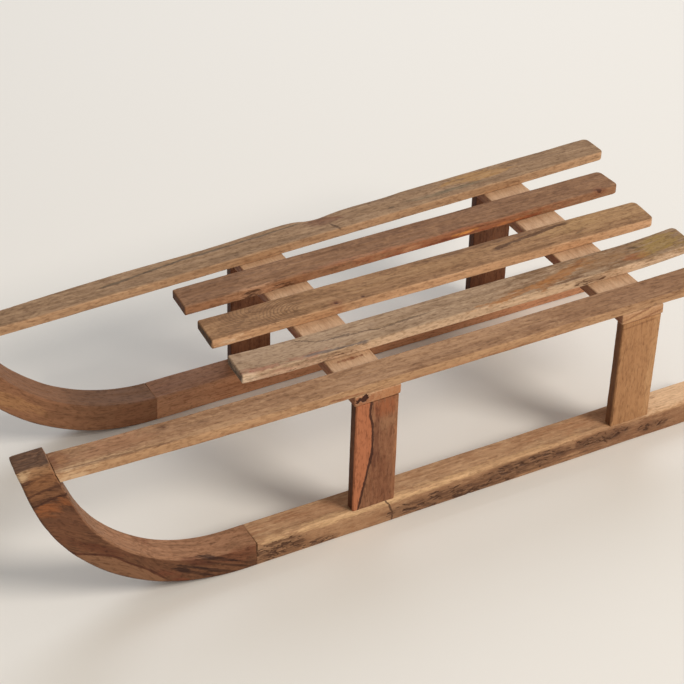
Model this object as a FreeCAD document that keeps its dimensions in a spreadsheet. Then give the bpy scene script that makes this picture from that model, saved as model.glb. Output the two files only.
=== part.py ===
import FreeCAD, Part
import os
import re
import Sketcher

os.makedirs("parts", exist_ok=True)
doc = FreeCAD.newDocument("WoodenSled")

# X runs along the sled with the horns at -X, Y across it with the left runner at -Y, Z up from the ground
sizes = {
    "sled_length": 602.0,
    "sled_width": 215.4,
    "seat_height": 136.3,
    "strip_thick": 8.0,
    "strip_corner": 5.0,
    "eased_edge": 0.8,
    "overrun": 6.0,
    # side rails
    "rail_width": 24.8,
    "left_rail_short": 5.0,
    "left_rail_front_lift": 4.1,
    "left_rail_rear_lift": 1.6,
    "right_rail_width": 25.8,
    "right_rail_front_in": 72.7,
    "right_rail_rear_in": 91.4,
    # seat slats
    "seat_setback": 189.2,
    "seat_rear_short": 22.3,
    "slat_end_skew": 1.4,
    "left_slat_width": 27.2,
    "left_slat_extra": 3.2,
    "left_slat_front_lift": 2.0,
    "left_slat_rear_lift": 3.2,
    "centre_slat_width": 28.9,
    "right_slat_width": 26.2,
    "right_slat_extra": 3.4,
    "right_rail_rear_skew": 2.0,
    # runners and their sawn horns
    "runner_width": 24.6,
    "runner_height": 21.5,
    "runner_short": 6.0,
    "runner_eased_edge": 1.2,
    "horn_radius": 167.5,
    "horn_height": 151.0,
    "horn_flat": 7.6,
    "horn_radius_drop": 35.0,
    "horn_straight_share": 0.8,
    "left_bend_straight_share": 0.71,
    "right_bend_straight_share": 0.94,
    "horn_twist": 3.4,
    "horn_tip_drop": 3.2,
    "left_bend_lead": 13.1,
    "left_bend_twist": 3.4,
    "right_horn_setback": 5.5,
    "right_horn_flat": 3.4,
    "right_horn_opening": 4.5,
    "right_bend_opening": 35.5,
    "right_bend_overlap": 4.6,
    "right_bend_twist": 10.0,
    "horn_tenon_length": 14.0,
    "horn_tenon_height": 8.0,
    "horn_tenon_width": 10.0,
    # crossbars and posts
    "bar_width": 38.2,
    "bar_thick": 8.8,
    "front_bar_setback": 254.9,
    "rear_bar_short": 80.6,
    "rear_bar_skew": 4.6,
    "post_width": 35.6,
    "post_thick": 8.5,
    "tenon_shoulder": 2.0,
    "foot_tenon_length": 10.0,
    "head_tenon_length": 5.0,
    "tenon_clearance": 0.1,
    "mortise_clearance": 0.4,
}

# worked out from the sizes above
derived = {
    "half_length": "sled_length / 2",
    "half_width": "sled_width / 2",
    "bar_top": "seat_height - strip_thick",
    "bar_bottom": "bar_top - bar_thick",
    "left_radius": "horn_radius",
    "left_inner_radius": "horn_radius - horn_radius_drop",
    "right_radius": "left_radius + right_horn_opening",
    "right_inner_radius": "left_inner_radius + right_bend_opening",
    "outside_drop": "horn_radius - horn_height * horn_straight_share",
    "outside_run": "sqrt(horn_radius ^ 2 - outside_drop ^ 2)",
    "outside_rise": "horn_height * (1 - horn_straight_share)",
    "left_horn_x": "outside_run + outside_rise * outside_drop / outside_run - half_length",
    "left_joint_x": "left_horn_x + horn_flat",
    "right_joint_x": "left_joint_x + right_horn_setback",
    "right_horn_x": "right_joint_x - right_horn_flat",
    "left_bend_x": "left_joint_x - left_bend_lead",
    "right_bend_x": "right_joint_x + right_bend_overlap",
    "left_drop": "runner_height + left_inner_radius - horn_height * left_bend_straight_share",
    "left_run": "sqrt(left_inner_radius ^ 2 - left_drop ^ 2)",
    "left_rise": "bar_top - horn_height * left_bend_straight_share",
    "left_rail_front": "left_bend_x - left_run - left_rise * left_drop / left_run",
    "right_bend_z": "runner_height + sqrt(right_inner_radius ^ 2 - right_bend_overlap ^ 2)",
    "right_rail_front": "right_bend_x - sqrt(right_inner_radius ^ 2 - (right_bend_z - bar_top) ^ 2)",
    "right_rail_tip": "right_bend_x - sqrt(right_inner_radius ^ 2 - (right_bend_z - seat_height) ^ 2)",
    "left_rail_rear": "half_length - left_rail_short",
    "fan_slope": "(right_rail_rear_in - right_rail_front_in) / (half_length - right_rail_front)",
    "rail_reach": "max(half_width; right_rail_rear_in + right_rail_width - fan_slope * strip_corner)",
    "mid_y": "(half_width - rail_reach) / 2",
    "left_y": "mid_y - half_width",
    "right_y": "mid_y + half_width",
    "right_runner_y": "right_y - runner_width",
    "runner_rear": "half_length - runner_short",
    "seat_front": "seat_setback - half_length",
    "seat_rear": "half_length - seat_rear_short",
    "left_slat_rear": "seat_rear + left_slat_extra",
    "right_slat_rear": "seat_rear + right_slat_extra",
    "front_bar_x": "front_bar_setback - half_length",
    "rear_bar_x": "half_length - rear_bar_short - bar_width",
    "bars_rear": "rear_bar_x + bar_width",
    "bar_margin": "(bar_width - post_width) / 2",
    "half_skew": "rear_bar_skew / 2",
    "slats_width": "left_slat_width + centre_slat_width + right_slat_width",
}

# parts of the room between the rails that the gaps take, from the left rail to the right one
front_gap_shares = (0.288, 0.295, 0.236, 0.181)
rear_gap_shares = (0.235, 0.223, 0.284, 0.258)

# the right rail's outer edge follows the tree's own edge up to a knot: (part of the length, part of the width)
wane_shares = (
    (0.0, 0.8),
    (0.1, 0.86),
    (0.15, 0.92),
    (0.27, 0.95),
    (0.39, 0.95),
    (0.43, 0.985),
    (0.47, 1.03),
    (0.493, 1.03),
    (0.508, 0.98),
    (0.521, 0.89),
    (0.535, 0.85),
    (0.549, 0.88),
    (0.572, 0.94),
    (0.62, 0.955),
    (0.674, 1.0),
)

for end, gap_shares in (("front", front_gap_shares), ("rear", rear_gap_shares)):
    derived[f"{end}_rail_in"] = f"right_rail_front_in + fan_slope * (seat_{end} - right_rail_front)"
    derived[f"{end}_room"] = f"half_width - rail_width + {end}_rail_in - slats_width"
    edge_y = "left_y + rail_width"
    for side, gap_share in zip(("left", "centre", "right"), gap_shares):
        derived[f"{side}_slat_{end}_y"] = f"{edge_y} + {end}_room * {gap_share}"
        edge_y = f"{side}_slat_{end}_y + {side}_slat_width"

sheet = doc.addObject("Spreadsheet::Sheet", "Sizes")
for row, (name, entry) in enumerate([*sizes.items(), *derived.items()], start=1):
    sheet.set(f"A{row}", name)
    sheet.set(f"B{row}", f"={entry}" if name in derived else str(entry))
    sheet.setAlias(f"B{row}", name)
doc.recompute()


def bound(expression):
    return re.sub(r"[a-z]\w+", lambda word: f"Sizes.{word[0]}" if hasattr(sheet, word[0]) else word[0], expression)


def value(expression):
    return float(sheet.evalExpression(bound(expression)))


def drive(item, path, expression):
    item.setExpression(path, bound(expression))


def point(texts):
    return FreeCAD.Vector(value(texts[0].lstrip("~")), value(texts[1].lstrip("~")), 0)


def makeBody(name):
    return doc.addObject("PartDesign::Body", name)


# a corner is (across, up) and a line runs from it to the next one. A longer corner starts an arc,
# (across, up, centre across, centre up, turn) with an optional radius, or a curve, (across, up, points).
# A text that starts with ~ is a first guess that the arcs then settle.
def drawOutline(body, name, role, corners, lift="0"):
    sketch = body.newObject("Sketcher::SketchObject", name)
    support = next(plane for plane in body.Origin.OriginFeatures if plane.Role == role)
    sketch.AttachmentSupport = [(support, "")]
    sketch.MapMode = "FlatFace"
    drive(sketch, "AttachmentOffset.Base.z", lift)
    for edge, corner in enumerate(corners):
        sketch.addGeometry(makeEdge(corner, point(corner), point(corners[(edge + 1) % len(corners)])))
    for edge, corner in enumerate(corners):
        after = (edge + 1) % len(corners)
        joined = (edge, tip(corner, "stop"), after, tip(corners[after], "start"))
        sketch.addConstraint(Sketcher.Constraint("Coincident", *joined))
        pin(sketch, edge, tip(corner, "start"), corner[:2])
        if len(corner) > 4:
            pin(sketch, edge, 3, corner[2:4])
        if len(corner) > 5:
            index = sketch.addConstraint(Sketcher.Constraint("Radius", edge, value(corner[5])))
            drive(sketch, f"Constraints[{index}]", corner[5])
    doc.recompute()
    return sketch


def makeEdge(corner, start, stop):
    if len(corner) == 2:
        return Part.LineSegment(start, stop)
    if len(corner) == 3:
        curve = Part.BSplineCurve()
        curve.interpolate([start, *(point(texts) for texts in corner[2]), stop])
        return curve
    centre = point(corner[2:4])
    guessed = corner[0].startswith("~") or corner[1].startswith("~")
    circle = Part.Circle(centre, FreeCAD.Vector(0, 0, 1), (stop if guessed else start).distanceToPoint(centre))
    first, last = (start, stop) if corner[4] == "left" else (stop, start)
    return Part.ArcOfCircle(circle, circle.parameter(first), circle.parameter(last))


# arcs are stored anticlockwise, so one that turns right has its ends swapped
def tip(corner, which):
    swapped = len(corner) > 4 and corner[4] == "right"
    return 2 if swapped == (which == "start") else 1


def pin(sketch, edge, end, texts):
    for kind, text in zip(("DistanceX", "DistanceY"), texts):
        if not text.startswith("~"):
            index = sketch.addConstraint(Sketcher.Constraint(kind, -1, 1, edge, end, value(text)))
            drive(sketch, f"Constraints[{index}]", text)


def addPad(body, sketch, length, sideType="One side", reverse=False):
    feature = body.newObject("PartDesign::Pad", f"{sketch.Name}_pad")
    feature.Profile = sketch
    feature.SideType = sideType
    feature.Reversed = reverse
    drive(feature, "Length", length)
    sketch.Visibility = False
    doc.recompute()
    return feature


def addPocket(body, sketch, length, reverse=False):
    before = body.Shape.Volume
    feature = body.newObject("PartDesign::Pocket", f"{sketch.Name}_pocket")
    feature.Profile = sketch
    feature.Reversed = reverse
    drive(feature, "Length", length)
    sketch.Visibility = False
    doc.recompute()
    if feature.Shape.Volume >= before:
        raise RuntimeError(f"{feature.Name} took nothing away")
    return feature


# edges where two faces meet at an angle, but for those whose middle the given test leaves out
def sharpEdges(shape, leftOut):
    chosen = []
    for index, edge in enumerate(shape.Edges, start=1):
        middle = edge.valueAt((edge.FirstParameter + edge.LastParameter) / 2)
        normals = [face.normalAt(*face.Surface.parameter(middle)) for face in shape.ancestorsOfType(edge, Part.Face)]
        if len(normals) == 2 and normals[0].getAngle(normals[1]) > 0.3 and not leftOut(middle):
            chosen.append(index)
    return chosen


def ease(body, feature, size, leftOut):
    eased = body.newObject("PartDesign::Chamfer", f"{body.Name}_eased")
    eased.Base = (feature, [f"Edge{index}" for index in sharpEdges(feature.Shape, leftOut)])
    drive(eased, "Size", size)
    doc.recompute()
    return eased


def block(front, rear, left, right):
    return [(front, left), (rear, left), (rear, right), (front, right)]


# a rectangle on the given plane, grown all round by the clearance
def tenonOutline(front, rear, low, high, clearance="0"):
    grown = f"({clearance})"
    return block(f"{front} - {grown}", f"{rear} + {grown}", f"{low} - {grown}", f"{high} + {grown}")


def hornTenon(clearance):
    middle = "runner_height / 2"
    low = f"{middle} - horn_tenon_height / 2"
    high = f"{middle} + horn_tenon_height / 2"
    left = "(runner_width - horn_tenon_width) / 2"
    right = "(runner_width + horn_tenon_width) / 2"
    return tenonOutline(left, right, low, high, clearance)


# The horn's section at one depth across it: an arc and a straight tip outside, the same inside.
# Both horns are twisted the same way: towards +Y they are bent tighter and the tip is lower.
def hornSection(body, side, depth, inset, twisted):
    hornX, bendX, jointX = (f"{side}_{place}_x" for place in ("horn", "bend", "joint"))
    twists = ("horn_twist", f"{side}_bend_twist", "horn_tip_drop") if twisted else ("0", "0", "0")
    outside = f"({side}_radius - {twists[0]})"
    inside = f"({side}_inner_radius - {twists[1]})"
    height = f"(horn_height - {twists[2]})"
    foot = f"runner_height - {inset}"

    # where the straight tip starts and ends, with the arc's radius changed by the shift
    def straight(centreX, centreZ, radius, shift, share):
        drop = f"({centreZ} - {height} * {share})"
        run = f"sqrt({radius} ^ 2 - {drop} ^ 2)"
        grown = f"(1 + ({shift}) / {radius})"
        startX = f"{centreX} - {run} * {grown}"
        startZ = f"{centreZ} - {drop} * {grown}"
        return startX, startZ, f"{startX} - ({height} - {inset} - ({startZ})) * {drop} / {run}"

    if side == "left":
        bendZ = f"(runner_height + {inside})"
        bend = [(jointX, foot), (bendX, foot, bendX, bendZ, "right")]
    else:
        bendZ = f"(runner_height + sqrt({inside} ^ 2 - right_bend_overlap ^ 2))"
        bend = [(jointX, foot, bendX, bendZ, "right")]
    outX, outZ, outTip = straight(hornX, outside, outside, f"-{inset}", "horn_straight_share")
    inX, inZ, inTip = straight(bendX, bendZ, inside, inset, f"{side}_bend_straight_share")
    corners = [
        (jointX, inset),
        *bend,
        (f"~{inX}", inZ),
        (inTip, f"{height} - {inset}"),
        (outTip, f"{height} - {inset}"),
        (f"~{outX}", outZ, hornX, outside, "left"),
        (hornX, inset),
    ]
    return drawOutline(body, f"{body.Name}_section", "XZ_Plane", corners, f"-({depth})")


# four sections across the horn: the outer two are inset to ease its edges
def hornLoft(body, side, width, inset):
    eased = "runner_eased_edge"
    depths = ["0", eased, f"runner_width - {eased}", width]
    settings = zip(depths, [inset, "0", "0", inset], [False, False, True, True])
    sections = [hornSection(body, side, *setting) for setting in settings]
    feature = body.newObject("PartDesign::AdditiveLoft", f"{body.Name}_sawn")
    feature.Profile = sections[0]
    feature.Sections = sections[1:]
    feature.Ruled = True
    for sketch in sections:
        sketch.Visibility = False
    doc.recompute()


def addHorn(name, side, side_y):
    body = makeBody(name)
    drive(body, "Placement.Base.y", side_y)
    hornLoft(body, side, "runner_width", "runner_eased_edge")
    socket = drawOutline(body, f"{name}_socket", "YZ_Plane", hornTenon("tenon_clearance"), f"{side}_joint_x")
    addPocket(body, socket, "horn_tenon_length + mortise_clearance")
    return body


def addRunner(name, side, side_y, postSides):
    body = makeBody(name)
    jointX = f"{side}_joint_x"
    outline = block(jointX, "runner_rear", "0", "runner_height")
    sketch = drawOutline(body, f"{name}_profile", "XZ_Plane", outline)
    drive(body, "Placement.Base.y", side_y)
    feature = addPad(body, sketch, "runner_width", reverse=True)
    jointEnd = value(f"{jointX} + horn_flat")
    ease(body, feature, "runner_eased_edge", lambda middle: middle.x < jointEnd)
    tenon = drawOutline(body, f"{name}_tenon", "YZ_Plane", hornTenon("0"), jointX)
    addPad(body, tenon, "horn_tenon_length", reverse=True)
    low, high = postSides
    for end in ("front", "rear"):
        front, rear = postTenon(postFront(end, side))
        outline = tenonOutline(front, rear, f"{low} + tenon_shoulder", f"{high} - tenon_shoulder", "tenon_clearance")
        mortise = drawOutline(body, f"{name}_{end}_mortise", "XY_Plane", outline, "runner_height")
        addPocket(body, mortise, "foot_tenon_length + mortise_clearance")
    return body


def postFront(end, side):
    if end == "front":
        return "front_bar_x + bar_margin"
    turn = "+" if side == "left" else "-"
    return f"rear_bar_x {turn} half_skew + bar_margin"


def postTenon(front):
    return f"{front} + tenon_shoulder", f"{front} + post_width - tenon_shoulder"


def postSpan(side):
    return ("left_y", "left_y + post_thick") if side == "left" else ("right_y - post_thick", "right_y")


def addPost(end, side):
    name = f"post_{end}_{side}"
    body = makeBody(name)
    front = postFront(end, side)
    low, high = postSpan(side)
    outline = block(front, f"{front} + post_width", low, high)
    sketch = drawOutline(body, f"{name}_plan", "XY_Plane", outline, "runner_height")
    feature = addPad(body, sketch, "bar_bottom - runner_height")
    foot = value("runner_height + eased_edge")
    head = value("bar_bottom - eased_edge")
    ease(body, feature, "eased_edge", lambda middle: not foot < middle.z < head)
    outline = tenonOutline(*postTenon(front), f"{low} + tenon_shoulder", f"{high} - tenon_shoulder")
    footTenon = drawOutline(body, f"{name}_foot", "XY_Plane", outline, "runner_height")
    addPad(body, footTenon, "foot_tenon_length", reverse=True)
    headTenon = drawOutline(body, f"{name}_head", "XY_Plane", outline, "bar_bottom")
    addPad(body, headTenon, "head_tenon_length")
    return body


def addBar(end, skew):
    name = f"crossbar_{end}"
    body = makeBody(name)
    front = f"{end}_bar_x"
    corners = [
        (f"{front} + {skew}", "left_y"),
        (f"{front} + {skew} + bar_width", "left_y"),
        (f"{front} - {skew} + bar_width", "right_y"),
        (f"{front} - {skew}", "right_y"),
    ]
    sketch = drawOutline(body, f"{name}_plan", "XY_Plane", corners, "bar_bottom")
    feature = addPad(body, sketch, "bar_thick")
    ease(body, feature, "eased_edge", lambda middle: False)
    for side in ("left", "right"):
        low, high = postSpan(side)
        ends = postTenon(postFront(end, side))
        outline = tenonOutline(*ends, f"{low} + tenon_shoulder", f"{high} - tenon_shoulder", "tenon_clearance")
        mortise = drawOutline(body, f"{name}_{side}_mortise", "XY_Plane", outline, "bar_bottom")
        addPocket(body, mortise, "head_tenon_length + mortise_clearance", reverse=True)
    return body


# a rail or slat seen from its side: flat over both crossbars, each end bent up by its lift, if any
def addSideView(name, front, rear, lifts, frontSlant=None):
    body = makeBody(f"{name}_side")
    frontLift, rearLift = lifts
    frontMost = front if frontSlant else f"{front} - 2 * overrun"
    rearMost = f"{rear} + overrun"
    corners = []
    if frontLift:
        frontCentre = f"bar_top + ((front_bar_x - ({front})) ^ 2 / {frontLift} + {frontLift}) / 2"
        corners += [
            (frontMost, f"~bar_top + {frontLift}", "front_bar_x", frontCentre, "left"),
            ("front_bar_x", "bar_top"),
        ]
    else:
        corners.append((frontMost, "bar_top"))
    if rearLift:
        rearCentre = f"bar_top + (({rear} - bars_rear) ^ 2 / {rearLift} + {rearLift}) / 2"
        corners += [
            ("bars_rear", "bar_top", "bars_rear", rearCentre, "left"),
            (rearMost, f"~bar_top + {rearLift}"),
            (rearMost, f"~seat_height + {rearLift}", "bars_rear", rearCentre, "right"),
            ("bars_rear", "seat_height"),
        ]
    else:
        corners += [(rearMost, "bar_top"), (rearMost, "seat_height")]
    if frontLift:
        corners += [
            ("front_bar_x", "seat_height", "front_bar_x", frontCentre, "right"),
            (frontMost, f"~seat_height + {frontLift}"),
        ]
    else:
        corners.append((f"{frontMost} - {frontSlant}" if frontSlant else frontMost, "seat_height"))
    sketch = drawOutline(body, f"{name}_profile", "XZ_Plane", corners)
    addPad(body, sketch, "2 * sled_width", "Symmetric")
    return body


# the same seen from above, with its rear corners rounded; the corners run round from the front at -Y
def addPlanView(name, corners, rear):
    body = makeBody(f"{name}_plan")
    sketch = drawOutline(body, f"{name}_outline", "XY_Plane", corners)
    feature = addPad(body, sketch, "2 * seat_height")
    middleZ = value("seat_height")
    rearZone = value(f"{rear} - strip_corner")
    aside = value("eased_edge")
    corner = body.newObject("PartDesign::Fillet", f"{name}_corners")
    rounded = sharpEdges(feature.Shape, lambda middle: middle.x < rearZone or abs(middle.z - middleZ) > aside)
    corner.Base = (feature, [f"Edge{index}" for index in rounded])
    drive(corner, "Radius", "strip_corner")
    doc.recompute()
    return body


def makeStrip(name, side, plan, horn=None, seatLimit=None):
    blank = doc.addObject("Part::MultiCommon", f"{name}_blank")
    blank.Shapes = [side, plan]
    doc.recompute()
    if horn:
        seated = doc.addObject("Part::Cut", f"{name}_seated")
        seated.Base = blank
        seated.Tool = horn
        blank = seated
        doc.recompute()
    limit = value(seatLimit) if seatLimit else value("-sled_length")
    strip = doc.addObject("Part::Chamfer", name)
    strip.Base = blank
    eased = value("eased_edge")
    strip.Edges = [(index, eased, eased) for index in sharpEdges(blank.Shape, lambda middle: middle.x < limit)]
    doc.recompute()
    return strip


def addSlat(side, lifts=(None, None)):
    name = f"seat_slat_{side}"
    rear = "seat_rear" if side == "centre" else f"{side}_slat_rear"
    width = f"{side}_slat_width"
    low, high = f"{side}_slat_front_y", f"{side}_slat_rear_y"
    rearSkew = "right_slat_extra" if side == "right" else "0"
    corners = [
        ("seat_front - slat_end_skew / 2", low),
        (rear, high),
        (f"{rear} - {rearSkew}", f"{high} + {width}"),
        ("seat_front + slat_end_skew / 2", f"{low} + {width}"),
    ]
    return makeStrip(name, addSideView(name, "seat_front", rear, lifts), addPlanView(name, corners, rear))


# the horn with square edges, which cuts the shape of its inside face out of the rail that leans on it
def addCutter(name, side, side_y, width):
    cutter = makeBody(f"{name}_cutter")
    drive(cutter, "Placement.Base.y", side_y)
    hornLoft(cutter, side, width, "0")
    return cutter


def addLeftRail():
    name = "side_rail_left"
    corners = [
        ("left_rail_front - overrun", "left_y"),
        ("left_rail_rear", "left_y"),
        ("left_rail_rear", "left_y + rail_width"),
        ("left_rail_front - overrun", "left_y + rail_width"),
    ]
    lifts = ("left_rail_front_lift", "left_rail_rear_lift")
    side = addSideView(name, "left_rail_front", "left_rail_rear", lifts)
    plan = addPlanView(name, corners, "left_rail_rear")
    cutter = addCutter(name, "left", "left_y", "rail_width")
    return makeStrip(name, side, plan, cutter, "left_rail_front + runner_height")


# its outer edge keeps the wane of the log, and it lies further in than its horn
def addRightRail():
    name = "side_rail_right"
    front = "(right_rail_front - overrun)"
    front_y = "mid_y + right_rail_front_in - fan_slope * overrun"
    rear_y = "mid_y + right_rail_rear_in"
    edge = [
        (
            f"{front} + (half_length - {front}) * {along}",
            f"{front_y} + ({rear_y} - ({front_y})) * {along} + right_rail_width * {part}",
        )
        for along, part in reversed(wane_shares)
    ]
    corners = [
        (front, front_y),
        ("half_length", rear_y),
        ("half_length - right_rail_rear_skew", f"{rear_y} + right_rail_width"),
        (*edge[0], edge[1:-1]),
        edge[-1],
    ]
    side = addSideView(name, "right_rail_front", "half_length", (None, None), "(right_rail_front - right_rail_tip)")
    plan = addPlanView(name, corners, "half_length")
    cutter = addCutter(name, "right", "right_runner_y", "runner_width")
    return makeStrip(name, side, plan, cutter, "right_rail_front + runner_height")


pieces = [
    addHorn("horn_left", "left", "left_y"),
    addHorn("horn_right", "right", "right_runner_y"),
    addRunner("runner_left", "left", "left_y", ("0", "post_thick")),
    addRunner("runner_right", "right", "right_runner_y", ("runner_width - post_thick", "runner_width")),
    addBar("front", "0"),
    addBar("rear", "half_skew"),
    *(addPost(end, side) for end in ("front", "rear") for side in ("left", "right")),
    addLeftRail(),
    addRightRail(),
    addSlat("left", ("left_slat_front_lift", "left_slat_rear_lift")),
    addSlat("centre"),
    addSlat("right"),
]

doc.recompute()
for item in doc.Objects:
    if {"Invalid", "Error"} & set(item.State):
        raise RuntimeError(f"{item.Name} did not build")
for piece in pieces:
    if piece.Shape.isNull() or not piece.Shape.isValid() or len(piece.Shape.Solids) != 1:
        raise RuntimeError(f"{piece.Name} is not one valid solid")
    piece.Label = piece.Name
    piece.Shape.exportStep(f"parts/{piece.Label}.step")
print("solids written:", len(pieces))
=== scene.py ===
import math

import bmesh
import bpy
from mathutils import Matrix, Vector, noise


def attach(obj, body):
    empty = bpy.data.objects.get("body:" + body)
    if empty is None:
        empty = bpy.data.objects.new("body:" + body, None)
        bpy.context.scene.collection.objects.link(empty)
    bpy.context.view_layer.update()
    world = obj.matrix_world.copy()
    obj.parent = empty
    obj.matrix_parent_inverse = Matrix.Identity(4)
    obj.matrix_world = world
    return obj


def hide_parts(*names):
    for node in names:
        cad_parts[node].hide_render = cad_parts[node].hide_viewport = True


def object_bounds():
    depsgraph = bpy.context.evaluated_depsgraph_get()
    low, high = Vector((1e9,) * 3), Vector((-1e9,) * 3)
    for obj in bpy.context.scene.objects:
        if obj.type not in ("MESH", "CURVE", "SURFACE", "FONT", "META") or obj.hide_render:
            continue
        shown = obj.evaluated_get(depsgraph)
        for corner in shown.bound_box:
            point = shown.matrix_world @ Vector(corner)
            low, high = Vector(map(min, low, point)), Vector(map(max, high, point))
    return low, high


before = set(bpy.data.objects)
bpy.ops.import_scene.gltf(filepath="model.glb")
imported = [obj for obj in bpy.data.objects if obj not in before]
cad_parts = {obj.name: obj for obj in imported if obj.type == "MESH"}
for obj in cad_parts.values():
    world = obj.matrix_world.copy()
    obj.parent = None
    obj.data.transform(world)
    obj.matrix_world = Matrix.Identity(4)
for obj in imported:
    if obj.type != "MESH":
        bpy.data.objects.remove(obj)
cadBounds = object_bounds()
print("frame loaded,", len(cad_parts), "nodes")

millimetre = 0.001


def metres(lengths):
    # a place or size given in millimetres
    return tuple(length * millimetre for length in lengths)


def radians(angles):
    return tuple(math.radians(angle) for angle in angles)


def colour(red, green, blue):
    # an sRGB colour, 0 to 255, as the linear colour that the shaders take
    def linear(value):
        share = value / 255
        return share / 12.92 if share <= 0.04045 else ((share + 0.055) / 1.055) ** 2.4

    return (linear(red), linear(green), linear(blue), 1.0)


def within01(value):
    return min(1.0, max(0.0, value))


def plug(tree, value, socket):
    if isinstance(value, bpy.types.NodeSocket):
        tree.links.new(value, socket)
    else:
        socket.default_value = value


def addNode(tree, kind, inputs=None, **settings):
    node = tree.nodes.new("ShaderNode" + kind)
    for name, value in settings.items():
        setattr(node, name, value)
    for name, value in (inputs or {}).items():
        plug(tree, value, node.inputs[name])
    return node


def calculate(tree, operation, first, second=0.0, third=0.0, clamp=False):
    node = addNode(tree, "Math", {0: first, 1: second, 2: third}, operation=operation, use_clamp=clamp)
    return node.outputs[0]


def times(tree, first, second, clamp=False):
    return calculate(tree, "MULTIPLY", first, second, clamp=clamp)


def vectorMath(tree, operation, first, second=(0, 0, 0), output=0):
    node = addNode(tree, "VectorMath", {0: first, 1: second}, operation=operation)
    return node.outputs[output]


def mixColour(tree, amount, first, second, blend="MIX"):
    node = addNode(tree, "Mix", {0: amount, 6: first, 7: second}, data_type="RGBA", blend_type=blend)
    return node.outputs[2]


def cover(tree, shade, tint, *amounts):
    # lays the tint over the shade by the amounts multiplied
    amount = amounts[0]
    for other in amounts[1:]:
        amount = times(tree, amount, other)
    return mixColour(tree, amount, shade, tint)


def remap(tree, value, fromLow, fromHigh, toLow=0.0, toHigh=1.0, smooth=False):
    inputs = {0: value, 1: fromLow, 2: fromHigh, 3: toLow, 4: toHigh}
    kind = "SMOOTHSTEP" if smooth else "LINEAR"
    return addNode(tree, "MapRange", inputs, interpolation_type=kind).outputs[0]


def fadeOut(tree, value, start, stop):
    # 1 up to the start, 0 from the stop on
    return remap(tree, value, start, stop, 1.0, 0.0, smooth=True)


def stretchedNoise(tree, vector, waves, detail=2.0):
    # noise with its own number of waves per metre along each axis
    place = vectorMath(tree, "MULTIPLY", vector, waves)
    return addNode(tree, "TexNoise", {"Vector": place, "Scale": 1.0, "Detail": detail})


def splitAxes(tree, vector):
    return addNode(tree, "SeparateXYZ", {0: vector}).outputs


def addGroup(tree, group, inputs):
    node = tree.nodes.new("ShaderNodeGroup")
    node.node_tree = group
    for name, value in inputs.items():
        plug(tree, value, node.inputs[name])
    return node.outputs


def makeGroup(name, build, vectors=(), values=(), colours=()):
    # a group that takes colours gives one back, and every other group gives values
    group = bpy.data.node_groups.new(name, "ShaderNodeTree")
    for kind, labels in (("Vector", vectors), ("Float", values), ("Color", colours)):
        for label in labels:
            group.interface.new_socket(name=label, in_out="INPUT", socket_type="NodeSocket" + kind)
    found = build(group, group.nodes.new("NodeGroupInput").outputs)
    kind = "Color" if colours else "Float"
    for label in found:
        group.interface.new_socket(name=label, in_out="OUTPUT", socket_type="NodeSocket" + kind)
    result = group.nodes.new("NodeGroupOutput").inputs
    for label, value in found.items():
        plug(group, value, result[label])
    return group


def growRings(tree, given, wander=(9.0, 45.0, 45.0), rise=2.2, lineEnd=0.86, faintest=0.3):
    # growth rings round a pith that runs along X; Lift bends them round a knot
    centred = stretchedNoise(tree, given["Vector"], wander).outputs["Color"]
    centred = vectorMath(tree, "SUBTRACT", centred, (0.5, 0.5, 0.5))
    wavy = addNode(tree, "VectorMath", {0: centred, "Scale": given["Waviness"]}, operation="SCALE")
    place = vectorMath(tree, "SUBTRACT", given["Vector"], given["Pith"])
    place = vectorMath(tree, "ADD", place, wavy.outputs[0])
    place = vectorMath(tree, "MULTIPLY", place, (0.0, 1.0, 1.0))
    radius = calculate(tree, "ADD", vectorMath(tree, "LENGTH", place, output=1), given["Lift"])
    count = calculate(tree, "DIVIDE", radius, given["Spacing"])
    share = calculate(tree, "FRACT", count)
    ring = calculate(tree, "FLOOR", count)
    tone = addNode(tree, "TexWhiteNoise", {"W": ring}, noise_dimensions="1D").outputs["Value"]
    line = times(tree, calculate(tree, "POWER", share, rise), fadeOut(tree, share, lineEnd, 1.0))
    return {"Rings": times(tree, line, remap(tree, tone, 0.0, 1.0, faintest)), "Tone": tone}


# waves per metre, detail, and the noise values that count as none and as full
grainLayers = {
    "Bands": ((5.0, 110.0, 110.0), 4.0, 0.36, 0.64),
    "Streaks": ((17.0, 330.0, 330.0), 4.0, 0.36, 0.66),
    "Fine": ((80.0, 700.0, 700.0), 3.0, 0.34, 0.68),
    "Pores": ((120.0, 950.0, 950.0), 2.0, 0.55, 0.68),
    "Flecks": ((230.0, 460.0, 460.0), 3.0, 0.52, 0.64),
    "Silver": ((190.0, 400.0, 400.0), 3.0, 0.52, 0.66),
    "Torn": ((110.0, 620.0, 620.0), 4.0, 0.2, 0.8),
    "Mottle": ((70.0, 130.0, 130.0), 4.0, 0.38, 0.62),
}
grainHeights = {"Pores": -0.8, "Fine": 0.5, "Flecks": -0.5}  # on top of the streaks


def drawFibres(tree, given, coarse=(60.0, 260.0, 260.0), fine=(300.0, 1200.0, 1200.0), shares=(1.3, 0.7)):
    # what runs along the grain, X, from broad bands down to single pores
    place = given["Vector"]
    found = {}
    for label, (waves, detail, low, high) in grainLayers.items():
        found[label] = remap(tree, stretchedNoise(tree, place, waves, detail).outputs[0], low, high)
    height = found["Streaks"]
    for label, share in grainHeights.items():
        height = calculate(tree, "MULTIPLY_ADD", found[label], share, height)
    coarse = stretchedNoise(tree, place, coarse, 3.0).outputs[0]
    fine = times(tree, stretchedNoise(tree, place, fine).outputs[0], shares[1])
    both = calculate(tree, "MULTIPLY_ADD", coarse, shares[0], fine)
    return {**found, "Ragged": calculate(tree, "SUBTRACT", both, 1.0), "Height": height}


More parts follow.
